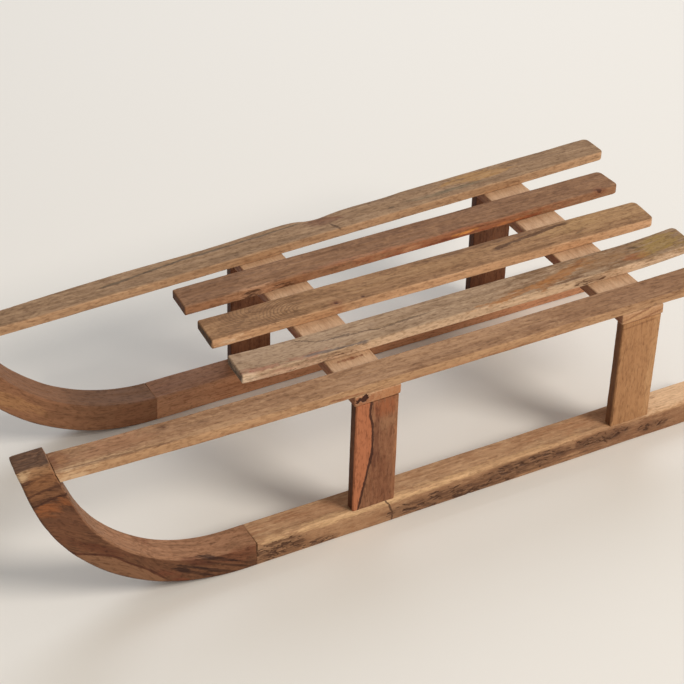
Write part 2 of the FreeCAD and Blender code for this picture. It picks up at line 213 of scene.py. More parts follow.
def growKnot(
    tree, given, core=(0.12, 0.3), halo=(0.2, 1.1), circles=(0.45, 1.0), rise=3.0, lineEnd=0.85,
    raggedRim=0.4, raggedRings=1.2 * millimetre, rearFade=metres((-12, 6)), bell=-1.6,
):
    # Core is its dark middle, Circles its own rings, Lift bends the wood's growth rings round it;
    # core, halo and circles go from full to none at these shares of the knot's reach
    place = vectorMath(tree, "SUBTRACT", given["Vector"], given["Centre"])
    shorter = calculate(tree, "DIVIDE", 1.0, given["Stretch"])
    squeeze = addNode(tree, "CombineXYZ", {"X": shorter, "Y": 1.0, "Z": 1.0}).outputs[0]
    length = vectorMath(tree, "LENGTH", vectorMath(tree, "MULTIPLY", place, squeeze), output=1)
    distance = calculate(tree, "DIVIDE", length, given["Reach"])
    uneven = calculate(tree, "MULTIPLY_ADD", given["Ragged"], raggedRim, distance)
    bumpy = calculate(tree, "MULTIPLY_ADD", given["Ragged"], raggedRings, length)
    share = calculate(tree, "FRACT", calculate(tree, "DIVIDE", bumpy, given["Spacing"]))
    line = times(tree, calculate(tree, "POWER", share, rise), remap(tree, share, lineEnd, 1.0, 1.0, 0.0))
    behind = calculate(tree, "SUBTRACT", splitAxes(tree, place)["X"], given["Rear"])
    fade = times(tree, fadeOut(tree, distance, *circles), fadeOut(tree, behind, *rearFade))
    lift = calculate(tree, "EXPONENT", times(tree, times(tree, distance, distance), bell))
    return {
        "Core": fadeOut(tree, uneven, *core),
        "Halo": fadeOut(tree, uneven, *halo),
        "Circles": times(tree, line, fade),
        "Lift": times(tree, lift, given["Reach"]),
    }


def spreadStain(tree, given):
    # a patch with soft, uneven edges: Size is half its length, width and height
    place = vectorMath(tree, "SUBTRACT", given["Vector"], given["Centre"])
    turning = {"Vector": place, "Rotation": given["Turn"]}
    turned = addNode(tree, "VectorRotate", turning, rotation_type="EULER_XYZ", invert=True).outputs[0]
    length = vectorMath(tree, "LENGTH", vectorMath(tree, "DIVIDE", turned, given["Size"]), output=1)
    distance = calculate(tree, "ADD", length, given["Uneven"])
    rim = [calculate(tree, side, 1.0, given["Softness"]) for side in ("SUBTRACT", "ADD")]
    return {"Mask": fadeOut(tree, distance, *rim)}


def drawSeamAndShadowLine(tree, given, solid=0.35):
    # a line of the given Width round Distance 0, and what lies on the line's negative side
    onFace = remap(tree, calculate(tree, "ABSOLUTE", given["Depth"]), given["Reach"], 0.0, 0.0, 2.0)
    away = calculate(tree, "DIVIDE", calculate(tree, "ABSOLUTE", given["Distance"]), given["Width"])
    share = calculate(tree, "DIVIDE", given["Distance"], given["Softness"])
    return {
        "Line": times(tree, fadeOut(tree, away, solid, 1.0), onFace, clamp=True),
        "Side": times(tree, fadeOut(tree, share, -0.5, 0.5), onFace, clamp=True),
    }


def mixGrain(tree, given, toneShare=0.4, screen=0.3):
    # the wood's colour from its three tones; the values say how much of each effect there is
    shade = given["Middle"]
    for label, tone in (("Bands", "Pale"), ("Streaks", "Dark"), ("Fine", "Pale"), ("Rings", "Dark")):
        shade = mixColour(tree, given[label], shade, given[tone])
    shade = mixColour(tree, times(tree, given["Tone"], toneShare), shade, given["Dark"])
    # Mottle and Silver lighten: the figure's pale patches and flecks, drawn as a painted sheen and glints
    for label in ("Mottle", "Silver"):
        shade = mixColour(tree, given[label], shade, mixColour(tree, screen, shade, given["Pale"], "SCREEN"))
    return {"Colour": shade}


def sortFaces(tree, given):
    # which way a face looks, as shares from none to full; Along is the grain's direction
    facing = given["Facing"]
    axes = splitAxes(tree, facing)
    upward = vectorMath(tree, "DOT_PRODUCT", facing, (0.5, 0.0, 0.87), output=1)
    endward = vectorMath(tree, "DOT_PRODUCT", facing, given["Along"], output=1)
    return {
        "Top": remap(tree, upward, 0.3, 0.7),
        "Level": remap(tree, axes["Z"], 0.4, 0.8),
        "Front": remap(tree, axes["X"], -0.95, -0.6, 1.0, 0.0),
        "Side": remap(tree, calculate(tree, "ABSOLUTE", axes["Y"]), 0.3, 0.85),
        "End": remap(tree, calculate(tree, "ABSOLUTE", endward), 0.7, 0.95),
    }


wearTints = {"Pores": (0.42, 0.36, 0.32, 1.0), "Flecks": (0.55, 0.48, 0.42, 1.0)}
# how dark its pits are, painted shade that grows with their depth


def wearDown(tree, given, tear=(0.52, 0.64), pit=(0.3, 0.6), pitRagged=0.25):
    # pores and flecks, then torn bark, then broken-out pits, darker with depth: torn wood and painted shade
    shade = given["Colour"]
    for label, tint in wearTints.items():
        shade = mixColour(tree, given[label], shade, mixColour(tree, 1.0, shade, tint, "MULTIPLY"))
    torn = calculate(tree, "ADD", given["Torn"], remap(tree, given["Bark"], 0.0, 1.0, -0.4, 0.0))
    torn = remap(tree, torn, *tear, smooth=True)
    torn = times(tree, torn, remap(tree, given["Bark"], 0.0, 0.3, 0.0, 0.9))
    uneven = remap(tree, given["Ragged"], -0.25, 0.25, 0.15, 0.6)  # thin bark between the tears
    for amount in (times(tree, given["Bark"], uneven), torn):
        shade = mixColour(tree, amount, shade, given["Bark Colour"])
    rough = calculate(tree, "MULTIPLY_ADD", given["Ragged"], pitRagged, given["Pit"])
    return {"Colour": mixColour(tree, remap(tree, rough, *pit, smooth=True), shade, given["Pit Colour"])}


rings = makeGroup("growthRings", growRings, ["Vector", "Pith"], ["Spacing", "Waviness", "Lift"])
fibres = makeGroup("fibres", drawFibres, ["Vector"])
knotSizes = ["Reach", "Stretch", "Spacing", "Rear", "Ragged"]
knot = makeGroup("knot", growKnot, ["Vector", "Centre"], knotSizes)
stain = makeGroup("stain", spreadStain, ["Vector", "Centre", "Turn", "Size"], ["Softness", "Uneven"])
seamAndShadowLine = makeGroup("seamAndShadowLine", drawSeamAndShadowLine, [], ["Distance", "Depth", "Width", "Softness", "Reach"])
grainAmounts = ["Bands", "Streaks", "Fine", "Rings", "Tone", "Mottle", "Silver"]
grainPaint = makeGroup("grainPaint", mixGrain, [], grainAmounts, ["Pale", "Middle", "Dark"])
faces = makeGroup("faces", sortFaces, ["Facing", "Along"])
wearAmounts = ["Pores", "Flecks", "Torn", "Ragged", "Bark", "Pit"]
wear = makeGroup("wear", wearDown, [], wearAmounts, ["Colour", "Bark Colour", "Pit Colour"])
print("wood effects made")


# places on the sled, in millimetres; X runs to the rear, Y to the right and Z up
leftSide = round(cadBounds[0][1] / millimetre, 1)
seatTop = 136.3

# lengths in millimetres; the fourth number of a face's tone says how much of it shows
plainWood = {
    "turn": (0, 0, 0),  # degrees; turns the grain, which runs along X, to lie along the piece
    "bend": None,  # how far down the grain runs along the piece, as (x, drop) points
    "tones": [(180, 146, 112), (158, 123, 92), (116, 84, 60)],  # pale, middle and dark
    "side": (178, 142, 106, 0.55),  # faces across Y in their own tone, mostly painted light: lighter sides where lamps face them
    "end": (110, 72, 50, 0.6),  # sawn ends: darker end grain; on the slats also painted shade
    "front": (100, 58, 38, 0.0),  # faces towards the front, painted darker: painted shade
    # faces looking up and to the rear: painted light where lighter, painted shade where darker
    "top": (170, 130, 96, 0.0),
    "grainInFaces": 0.45,
    "pith": (0, 30, -40),
    "spacing": 3.4,
    "waviness": 6.0,
    "rings": 0.4,
    "bands": 0.6,
    "streaks": 0.5,
    "fine": 0.3,
    "pores": 0.45,
    "flecks": 0.5,
    "silver": 0.7,
    "mottle": 0.6,
    "edge": 0.35,  # worn edges with a painted highlight along them, in the side's tone
    "roughness": (0.55, 0.72),
    "specular": 0.2,
    "bumpStrength": 0.5,
    "bumpDepth": 0.25,
    # the pits' colour: torn wood darkened by painted shade in their depth
    "pit": (70, 46, 32),
    "bark": (88, 58, 40),
    "knots": [],
    "stains": [],
    "seamsAndShadowLines": [],
}
meshMarks = ("edge", "pit", "bark")  # how near a worn edge with its painted highlight, how deep in a pit with its painted shade, and how barked each point of a piece is


def blot(centre, size, tint, amount, tilt=0, swing=0, softness=0.4, ragged=2.0, onTop=False):
    # size is half its length, width and height; tilt is seen from the side, swing from above
    inputs = {"Centre": metres(centre), "Size": metres(size), "Turn": radians((0, tilt, swing))}
    inputs["Softness"] = softness
    return {"inputs": inputs, "tint": tint, "amount": amount, "ragged": ragged, "onTop": onTop}


def knotAt(centre, reach, stretch, spacing=1.6, rear=1000, **mark):
    # spacing is between its own rings, which are only in front of its rear
    reach, spacing, rear = metres((reach, spacing, rear))
    inputs = {"Centre": metres(centre), "Reach": reach, "Stretch": stretch, "Spacing": spacing, "Rear": rear}
    return {"inputs": inputs, **mark}


def lineAlong(axes, face, points, tint, amount, width=0.8, softness=1.5, reach=4.0, **mark):
    # axes "XZ" is a line along X whose height is in its points, on the face that lies at that Y
    width, softness, reach = metres((width, softness, reach))
    mark |= {"axes": axes, "face": face, "points": points, "tint": tint, "amount": amount}
    return {"inputs": {"Width": width, "Softness": softness, "Reach": reach}, **mark}


def curveOver(tree, value, points):
    # a smooth curve through (input, output) points in millimetres, level beyond both ends
    given, found = zip(*points)
    lowIn, highIn = given[0], given[-1]
    lowOut, highOut = min(found), max(found)
    span = max(highOut - lowOut, 0.001)
    places = [((x - lowIn) / (highIn - lowIn), (y - lowOut) / span) for x, y in points]
    node = tree.nodes.new("ShaderNodeFloatCurve")
    curve = node.mapping.curves[0]
    curve.points[0].location, curve.points[1].location = places[0], places[-1]
    for place in places[1:-1]:
        curve.points.new(*place)
    node.mapping.update()
    plug(tree, remap(tree, value, lowIn * millimetre, highIn * millimetre), node.inputs["Value"])
    return remap(tree, node.outputs[0], 0.0, 1.0, lowOut * millimetre, highOut * millimetre)


def grainAxis(turn):
    # the direction in the piece that the mapping turns onto X
    back = Matrix.Identity(3)
    for angle, axis in zip(turn, "XYZ"):
        back = Matrix.Rotation(angle, 3, axis) @ back
    return tuple(back.transposed() @ Vector((1, 0, 0)))


def grainPlace(tree, place, wood):
    if wood["bend"]:
        drop = curveOver(tree, splitAxes(tree, place)["X"], wood["bend"])
        place = vectorMath(tree, "ADD", place, addNode(tree, "CombineXYZ", {"Z": drop}).outputs[0])
    return addNode(tree, "Mapping", {"Vector": place, "Rotation": radians(wood["turn"])}).outputs[0]


def addKnots(tree, place, wood, ragged):
    found = []
    lift = 0.0
    for spot in wood["knots"]:
        masks = addGroup(tree, knot, {**spot["inputs"], "Vector": place, "Ragged": ragged})
        lift = calculate(tree, "MULTIPLY_ADD", masks["Lift"], spot.get("lift", 1.0), lift)
        found.append((masks, spot))
    return found, lift


def paintGrain(tree, wood, fibre, ring):
    inputs = {label: colour(*tone) for label, tone in zip(("Pale", "Middle", "Dark"), wood["tones"])}
    for label in ("Bands", "Streaks", "Fine", "Mottle", "Silver"):
        inputs[label] = times(tree, fibre[label], wood[label.lower()])
    for label in ("Rings", "Tone"):
        inputs[label] = times(tree, ring[label], wood["rings"])
    return addGroup(tree, grainPaint, inputs)["Colour"]


def paintFaceShadeAndTone(tree, shade, wood, face, fibre):
    # painted light and shade by which way a face looks, with darker end grain on sawn ends; the grain's
    # streaks still show through
    broken = times(tree, fibre["Streaks"], wood["grainInFaces"])
    for label in ("Top", "Front", "Side", "End"):
        *tone, amount = wood[label.lower()]
        tint = mixColour(tree, broken, colour(*tone), shade)
        shade = cover(tree, shade, tint, face[label], amount)
    return shade


def paintStains(tree, shade, place, level, wood, fibre):
    uneven = remap(tree, fibre["Fine"], 0.0, 1.0, 1.1, 0.6)
    for mark in wood["stains"]:
        ragged = times(tree, fibre["Ragged"], mark["ragged"])
        mask = addGroup(tree, stain, {**mark["inputs"], "Vector": place, "Uneven": ragged})["Mask"]
        if mark["onTop"]:
            mask = times(tree, mask, level)
        shade = cover(tree, shade, colour(*mark["tint"]), mask, mark["amount"], uneven)
    return shade


def paintSeamsAndShadowLines(tree, shade, place, wood, fibre):
    axes = splitAxes(tree, place)
    for mark in wood["seamsAndShadowLines"]:
        along, across = (axes[name] for name in mark["axes"])
        depth = axes[(set("XYZ") - set(mark["axes"])).pop()]
        distance = calculate(tree, "SUBTRACT", across, curveOver(tree, along, mark["points"]))
        waver = mark.get("waver", 2.5) * millimetre
        inputs = {
            "Distance": calculate(tree, "MULTIPLY_ADD", fibre["Ragged"], waver, distance),
            "Depth": calculate(tree, "SUBTRACT", depth, mark["face"] * millimetre),
        }
        masks = addGroup(tree, seamAndShadowLine, {**mark["inputs"], **inputs})
        within = 1.0
        if "ends" in mark:
            start, stop = metres(mark["ends"])
            fade = mark.get("fade", 6.0) * millimetre
            within = remap(tree, along, start - fade, start, smooth=True)
            within = times(tree, within, fadeOut(tree, along, stop, stop + fade))
        if "field" in mark:
            field = colour(*mark["field"])
            shade = cover(tree, shade, field, masks["Side"], mark["fieldAmount"], within)
        shade = cover(tree, shade, colour(*mark["tint"]), masks["Line"], mark["amount"], within)
    return shade


def paintKnots(tree, shade, level, wood, knots):
    for masks, spot in knots:
        tint = colour(*spot.get("halo", wood["tones"][2]))
        shade = cover(tree, shade, tint, masks["Halo"], spot.get("haloShare", 0.45))
        circles = [masks["Circles"], spot.get("circles", 0.8)] + [level] * spot.get("onTop", False)
        shade = cover(tree, shade, tint, *circles)
        core = colour(*spot.get("tint", (70, 42, 28)))
        shade = cover(tree, shade, core, masks["Core"], spot.get("core", 1.0))
    return shade


def makeWood(name, **changes):
    wood = {**plainWood, **changes}
    material = bpy.data.materials.new(name)
    material.use_nodes = True
    tree = material.node_tree
    tree.nodes.clear()
    place = addNode(tree, "TexCoord").outputs["Object"]
    facing = addNode(tree, "NewGeometry").outputs["True Normal"]
    marked = {label: addNode(tree, "Attribute", attribute_name=label).outputs["Fac"] for label in meshMarks}
    grain = grainPlace(tree, place, wood)
    fibre = addGroup(tree, fibres, {"Vector": grain})
    knots, lift = addKnots(tree, place, wood, fibre["Ragged"])
    spacing, waviness = metres((wood["spacing"], wood["waviness"]))
    laid = {"Pith": metres(wood["pith"]), "Spacing": spacing, "Waviness": waviness}
    ring = addGroup(tree, rings, {**laid, "Vector": grain, "Lift": lift})
    face = addGroup(tree, faces, {"Facing": facing, "Along": grainAxis(radians(wood["turn"]))})
    shade = paintGrain(tree, wood, fibre, ring)
    shade = paintFaceShadeAndTone(tree, shade, wood, face, fibre)
    # worn, rounded edges with a painted highlight in the side's tone
    shade = cover(tree, shade, colour(*wood["side"][:3]), marked["edge"], wood["edge"])
    shade = paintStains(tree, shade, place, face["Level"], wood, fibre)
    shade = paintSeamsAndShadowLines(tree, shade, place, wood, fibre)
    shade = paintKnots(tree, shade, face["Level"], wood, knots)
    worn = {"Colour": shade, "Bark Colour": colour(*wood["bark"]), "Pit Colour": colour(*wood["pit"])}
    worn |= {"Torn": fibre["Torn"], "Ragged": fibre["Ragged"], "Bark": marked["bark"], "Pit": marked["pit"]}
    for label in ("Pores", "Flecks"):
        worn[label] = times(tree, fibre[label], wood[label.lower()])
    bump = {"Height": fibre["Height"], "Strength": wood["bumpStrength"]}
    bump["Distance"] = wood["bumpDepth"] * millimetre
    surfaceInputs = {
        "Base Color": addGroup(tree, wear, worn)["Colour"],
        "Roughness": remap(tree, fibre["Streaks"], 0.0, 1.0, *wood["roughness"]),
        "Normal": addNode(tree, "Bump", bump).outputs[0],
        "Specular IOR Level": wood["specular"],
    }
    surface = addNode(tree, "BsdfPrincipled", surfaceInputs)
    addNode(tree, "OutputMaterial", {"Surface": surface.outputs[0]})
    return material


# sawn pieces: the CAD shapes with rounded edges and the slight unevenness of work by hand
sanding = {
    "flat": math.radians(0.5),  # between faces that count as one
    "sharp": math.radians(20),
    "edgeSteps": 2,
    "edgeTurn": 0.03,  # how far a rounded edge's faces turn from each other
    "patchCuts": 3,
    "patchMargin": -0.35,  # a patch's mesh is finer a little past its rim, where its share is below 0
    "pitMargin": -0.15,
}
sandingLengths = {
    "weld": 0.002,
    "edgeRadius": 0.3,
    "margin": 1.0,  # a cut near each end keeps the rounded edges narrow
    "cellLength": 3.0,
    "cellWidth": 2.5,
    "waveDepth": 0.3,
    "waveLength": 45.0,
    "waveWidth": 16.0,
    "edgeDepth": 1.0,
    "edgeWave": 9.0,
    "chipDepth": 0.45,
    "chipWave": 3.2,
}
sanding |= {name: length * millimetre for name, length in sandingLengths.items()}


def cutAcross(mesh, axis, step):
    places = [corner.co[axis] for corner in mesh.verts]
    low, high = min(places), max(places)
    normal = Vector((0, 0, 0))
    normal[axis] = 1
    count = max(1, round((high - low) / step))
    margin = sanding["margin"]
    levels = [low + margin, high - margin] + [low + (high - low) * index / count for index in range(1, count)]
    for level in levels:
        point = normal * level
        everything = mesh.verts[:] + mesh.edges[:] + mesh.faces[:]
        bmesh.ops.bisect_plane(mesh, geom=everything, plane_co=point, plane_no=normal, dist=1e-7)


def edgeShare(corner):
    # 0 on a flat face, 1 on a rounded edge
    turned = [corner.normal.dot(face.normal) for face in corner.link_faces]
    return within01((1 - min(turned)) / sanding["edgeTurn"]) if turned else 0.0


def flatterNormal(corner):
    # the larger faces round a point decide its shading, so flat faces stay flat up to their edges
    total = Vector((0, 0, 0))
    for face in corner.link_faces:
        total += face.normal * face.calc_area()
    return total.normalized() if total.length > 0 else corner.normal.copy()


def roughPatch(centre, size, **changes):
    # rough, torn or hollow wood on a piece's left side, which faces -Y
    patch = {
        "centre": Vector(metres(centre)),
        "size": size,
        "turn": 0,
        "depth": 0.7,
        "tone": 1.0,  # how dark its pits are
        "bark": 1.0,
        "hollow": False,  # one hollow, as ragged as its own value says, instead of small pits
        "slope": 0,
        "grain": (8.0, 1.7),  # a pit's usual length and height
        "curl": 3.0,
        "bar": 0.22,  # higher leaves fewer pits
    }
    return {**patch, **changes}


def turnedBy(degrees, place):
    return Matrix.Rotation(-math.radians(degrees), 3, "Y") @ place


def patchShare(patch, corner):
    # how far inside a rough patch a point is: 1 at its middle, 0 at its rim, less outside
    turned = turnedBy(patch["turn"], (corner.co - patch["centre"]) / millimetre)
    return 1 - Vector([turned[axis] / patch["size"][axis] for axis in range(3)]).length


pitting = {
    "tear": 1.8,  # millimetres
    "hollowRim": 0.25,
    "curlWave": 14,
    "coarseWidth": 3,
    "fineWaves": (2.4, 2, 0.9),
    "coarseShare": 0.75,
    "fineShare": 0.35,
    "insideShare": 0.5,
    "rim": 0.16,
}


def pitShare(patch, corner, seed):
    inside = patchShare(patch, corner)
    if inside <= sanding["pitMargin"]:
        return 0.0
    if patch["hollow"]:
        torn = noise.noise(corner.co / (pitting["tear"] * millimetre) + seed) * patch["ragged"]
        return within01((inside + torn) / pitting["hollowRim"])
    place = turnedBy(patch["slope"], corner.co / millimetre)
    length, height = patch["grain"]
    curl = noise.noise(place / pitting["curlWave"] + seed) * patch["curl"]
    coarse = Vector((place.x / length, place.y / pitting["coarseWidth"], place.z / height + curl))
    fine = Vector([place[axis] / pitting["fineWaves"][axis] for axis in range(3)])
    value = noise.noise(coarse + seed) * pitting["coarseShare"]
    value += noise.noise(fine + seed) * pitting["fineShare"]
    value += min(inside, 0.5) * pitting["insideShare"] - patch["bar"]
    return within01(value / pitting["rim"])


def refine(mesh, patches):
    # a finer mesh on the left side, where the rough patches are
    chosen = set()
    for face in mesh.faces:
        if patches and face.normal.y < -0.5:
            middle = face.calc_center_median()
            corner = min(face.verts, key=lambda vert: (vert.co - middle).length)
            if max(patchShare(patch, corner) for patch in patches) > sanding["patchMargin"]:
                chosen.update(face.edges)
    if chosen:
        bmesh.ops.subdivide_edges(mesh, edges=list(chosen), cuts=sanding["patchCuts"], use_grid_fill=True)


def splitLargeFaces(mesh):
    bmesh.ops.triangulate(mesh, faces=[face for face in mesh.faces if len(face.verts) > 4])
    mesh.normal_update()


def cleanCopy(node):
    # the node's mesh with its flat faces whole and its sharp edges rounded
    mesh = bmesh.new()
    mesh.from_mesh(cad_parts[node].data)
    bmesh.ops.remove_doubles(mesh, verts=mesh.verts, dist=sanding["weld"])
    bmesh.ops.dissolve_limit(mesh, angle_limit=sanding["flat"], verts=mesh.verts, edges=mesh.edges)
    sharp = []
    for edge in mesh.edges:
        if len(edge.link_faces) == 2 and edge.calc_face_angle() > sanding["sharp"]:
            sharp.append(edge)
    rounding = {"offset": sanding["edgeRadius"], "offset_type": "OFFSET", "segments": sanding["edgeSteps"]}
    bmesh.ops.bevel(mesh, geom=sharp, affect="EDGES", profile=0.5, clamp_overlap=False, **rounding)
    return mesh


def wearPoint(corner, share, axis, patches, edgeDepth, seed):
    # how far the point moves, and its marks in the order of meshMarks
    scaled = Vector(corner.co)
    for other in range(3):
        scaled[other] /= sanding["waveLength"] if other == axis else sanding["waveWidth"]
    wave = noise.noise(scaled + seed) * sanding["waveDepth"]
    dent = max(0.0, noise.noise(corner.co / sanding["edgeWave"] + seed)) * edgeDepth
    dent += max(0.0, noise.noise(corner.co / sanding["chipWave"] - seed)) * sanding["chipDepth"]
    move = corner.normal * (wave - dent * share)
    pitted = barked = 0.0
    for patch in patches:
        if corner.normal.y > -0.3:
            continue
        depth = pitShare(patch, corner, seed)
        move.y += depth * patch["depth"] * millimetre
        # pits darken with depth: painted shade over the torn wood
        pitted = max(pitted, depth * patch["tone"])
        barked = max(barked, within01(patchShare(patch, corner) * 3 + 0.5) * patch["bark"])
    return move, (share, pitted, barked)


def sandPiece(node, material, length="x", patches=(), edgeDepth=sanding["edgeDepth"]):
    mesh = cleanCopy(node)
    axis = "xyz".index(length)
    for other in sorted(range(3), key=lambda number: number != axis):
        cutAcross(mesh, other, sanding["cellLength"] if other == axis else sanding["cellWidth"])
    splitLargeFaces(mesh)
    refine(mesh, patches)
    splitLargeFaces(mesh)
    seed = Vector([ord(letter) for letter in node[-3:]])
    shares = [edgeShare(corner) for corner in mesh.verts]
    worn = [wearPoint(*pair, axis, patches, edgeDepth, seed) for pair in zip(mesh.verts, shares)]
    for name in meshMarks:
        mesh.verts.layers.float.new(name)
    layers = [mesh.verts.layers.float[name] for name in meshMarks]
    for corner, (move, marks) in zip(mesh.verts, worn):
        corner.co += move
        corner.co.z = max(corner.co.z, 0.0)  # stays on the floor
        for layer, mark in zip(layers, marks):
            corner[layer] = mark
    mesh.normal_update()
    normals = [flatterNormal(corner) for corner in mesh.verts]
    data = bpy.data.meshes.new(node + "_sanded")
    mesh.to_mesh(data)
    mesh.free()
    data.shade_smooth()
    data.normals_split_custom_set_from_vertices(normals)
    data.materials.append(material)
    piece = bpy.data.objects.new(node + "_wood", data)
    bpy.context.scene.collection.objects.link(piece)
    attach(piece, "root")
    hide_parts(node)
    print(node, len(data.polygons), "faces")


leftRail = {
    "tones": [(176, 136, 101), (146, 107, 75), (110, 76, 51)],
    "side": (190, 150, 112, 0.7),
    "pith": (0, -60, 60),
    "mottle": 0.7,
    "stains": [
        blot((-268, -98, 139), (8, 9, 6), (118, 74, 46), 0.75),
        blot((-264, -99, 139), (3, 4, 5), (160, 116, 78), 0.7),
        blot((-224, -98, 139), (26, 8, 5), (178, 130, 98), 0.5),
        blot((-264, -112, 134), (14, 4, 5), (216, 184, 148), 0.6),
        blot((-250, -109, 138), (30, 3, 3), (204, 170, 132), 0.55),
        blot((-150, -109, 138), (60, 2.4, 3), (192, 154, 114), 0.4),
        blot((-50, -112, 131), (16, 3, 1.2), (140, 84, 56), 0.7),
        blot((-150, -112, 131), (50, 3, 1.6), (150, 104, 70), 0.5),
        blot((60, -112, 130), (60, 3, 1.6), (160, 112, 76), 0.5),
        blot((-215, -100, 138), (30, 4, 4), (134, 94, 62), 0.5),
        blot((60, -104, 136), (90, 3, 4), (128, 92, 64), 0.4),
        blot((220, -98, 136), (110, 22, 6), (132, 94, 66), 0.5),
        blot((20, -96, 136), (70, 8, 4), (178, 140, 106), 0.4),
    ],
    "knots": [knotAt((-187, -94, 137.5), 5, 1.5, core=0.9, tint=(92, 54, 34))],
    "seamsAndShadowLines": [
        # painted shadow: a thin dark line along the near top edge, where the top meets the side
        lineAlong(
            "XY", 138.5, [(-265, -109), (-233, -109.5), (-219, -110.3), (-180, -110.6)], (104, 70, 46), 0.55,
            reach=6, ends=(-262, -190), fade=14, width=0.9,
        ),
    ],
}
rightRail = {
    "tones": [(164, 132, 101), (140, 110, 82), (102, 76, 55)],
    "side": (196, 154, 117, 0.7),
    "pith": (0, 150, 90),
    "stains": [
        blot((38, 94, 136), (13, 6, 5), (112, 68, 46), 0.75),
        blot((41.5, 83.5, seatTop), (5.5, 1.3, 3), (62, 36, 24), 0.95, swing=-65, ragged=0.8),
        blot((96, 88, seatTop), (3, 1.3, 2), (84, 66, 50), 0.9, ragged=0.8),
        blot((132, 90, 136), (26, 2.2, 3), (120, 104, 80), 0.6),
        blot((165, 91, 136), (24, 1.8, 3), (112, 98, 76), 0.65),
        blot((184, 100, 136), (26, 5, 4), (176, 132, 74), 0.6),
        blot((-20, 82, 136), (60, 1.8, 3), (122, 96, 72), 0.5),
        blot((20, 68, 132), (120, 2, 4), (198, 136, 92), 0.5),
    ],
    "seamsAndShadowLines": [
        lineAlong(
            "XY", seatTop, [(-160, 84), (-138, 86), (-103, 90.5), (-67, 93.5), (-32, 95), (5, 98), (28, 99)],
            (98, 82, 66), 0.8, reach=4, ends=(-156, 14), width=1.2,
        ),
    ],
}
leftSlat = {
    "tones": [(182, 152, 122), (150, 121, 93), (106, 80, 58)],
    "side": (218, 186, 154, 0.85),
    # painted shade: the front end much darker than end grain alone
    "end": (42, 25, 16, 1.0),
    "pith": (0, -40, 40),
    "waviness": 9,
    "streaks": 0.65,
    "stains": [
        blot((-70, -52, 137), (60, 14, 4), (176, 150, 126), 0.5),
        blot((215, -52, 138), (90, 18, 4), (118, 82, 48), 0.65),
        blot((122, -61, seatTop), (34, 2.6, 3), (164, 108, 56), 0.75, swing=6),
        blot((168, -54, seatTop), (28, 5, 3), (162, 106, 54), 0.75, swing=16),
        blot((186, -47, seatTop), (10, 2, 3), (134, 82, 42), 0.7, swing=30),
        blot((200, -50, seatTop), (30, 10, 3), (150, 108, 66), 0.4),
        blot((232, -58, 138), (12, 4, 3), (150, 88, 46), 0.75),
        blot((258, -52, 138.5), (20, 11, 4), (158, 130, 66), 0.65),
        blot((236, -47, 138), (8, 1.4, 3), (84, 62, 40), 0.8, swing=-20),
        blot((168, -63, 136), (14, 1.8, 3), (104, 70, 44), 0.7),
        blot((150, -40, 136), (60, 3, 3), (118, 88, 60), 0.5),
        blot((80, -48, 136), (60, 3, 3), (126, 98, 72), 0.45),
        blot((-86, -62, 137), (24, 2, 4), (152, 88, 66), 0.5, ragged=6),
        blot((-104, -63, 138), (2.0, 1.2, 3), (140, 66, 48), 0.7, ragged=1),
        blot((-108, -66, 131), (9, 4, 7), (226, 204, 178), 0.8, ragged=1),
        blot((-76, -66, 131), (36, 3, 3), (210, 172, 146), 0.5),
    ],
    "seamsAndShadowLines": [
        lineAlong(
            "XY", 136.5, [(-66, -62), (-43, -63), (-35, -63.3), (-16, -64), (0, -64)], (104, 92, 88), 0.7,
            reach=5, ends=(-58, -12), waver=4, width=1.2,
        ),
        lineAlong(
            "XY", seatTop, [(-60, -40), (-52, -44), (-37, -51), (-15, -52), (12, -54), (60, -52)],
            (96, 76, 60), 0.7, reach=5, ends=(-54, 40), fade=18, waver=5, width=1.1,
        ),
    ],
}
centreSlat = {
    "tones": [(168, 128, 90), (146, 108, 74), (98, 66, 42)],
    "side": (206, 162, 124, 0.9),
    # painted shade: the front end much darker than end grain alone
    "end": (42, 25, 15, 1.0),
    "pith": (0, 20, 60),
    "waviness": 12,
    "streaks": 0.6,
    "knots": [
        knotAt(
            (-34, -5, 134), 30, 1.7, spacing=1.7, rear=4, onTop=True, halo=(80, 52, 33), haloShare=0.0,
            core=0.0, circles=1.0, lift=0.4,
        ),
        knotAt(
            (-64, 8, 134), 34, 1.5, spacing=2.0, rear=-2, onTop=True, halo=(84, 56, 36), haloShare=0.0,
            core=0.0, circles=0.85, lift=0.2,
        ),
        knotAt((-8, -12, 136), 5.5, 1.6, halo=(120, 72, 46), tint=(78, 42, 28)),
        knotAt((-7, -18.5, 132.5), 5, 1.4, halo=(150, 96, 62), tint=(98, 56, 36)),
        knotAt((14, -18.5, 134), 3, 1.4, halo=(160, 108, 74), tint=(104, 64, 42)),
    ],
    "stains": [
        blot((206, 2, 136), (30, 6, 4), (170, 134, 92), 0.6),
        blot((-96, -18.5, 131), (30, 3, 6), (226, 198, 166), 0.7),
        blot((160, 9, 136), (60, 3, 3), (116, 84, 60), 0.55),
        blot((214, -8, seatTop), (7, 1.6, 3), (118, 88, 58), 0.7, swing=30),
        blot((244, 2, 136), (40, 14, 4), (172, 136, 94), 0.6),
        blot((80, 0, 136), (60, 5, 4), (168, 132, 94), 0.5),
        blot((110, 8, 136), (50, 2.4, 3), (110, 78, 54), 0.5),
        blot((-8, -11, seatTop), (2.6, 1.5, 1), (74, 42, 28), 0.95, ragged=1),
        blot((14, -13, seatTop), (1.8, 1.1, 1), (80, 46, 30), 0.9, ragged=1),
    ],
    "seamsAndShadowLines": [
        lineAlong(
            "XY", seatTop, [(125, -4), (144, -0.5), (157, 1), (178, 4), (195, 6), (206, 6.5), (225, 5)],
            (84, 54, 34), 0.8, ends=(142, 206), fade=10, waver=4, width=2.2,
        ),
    ],
}
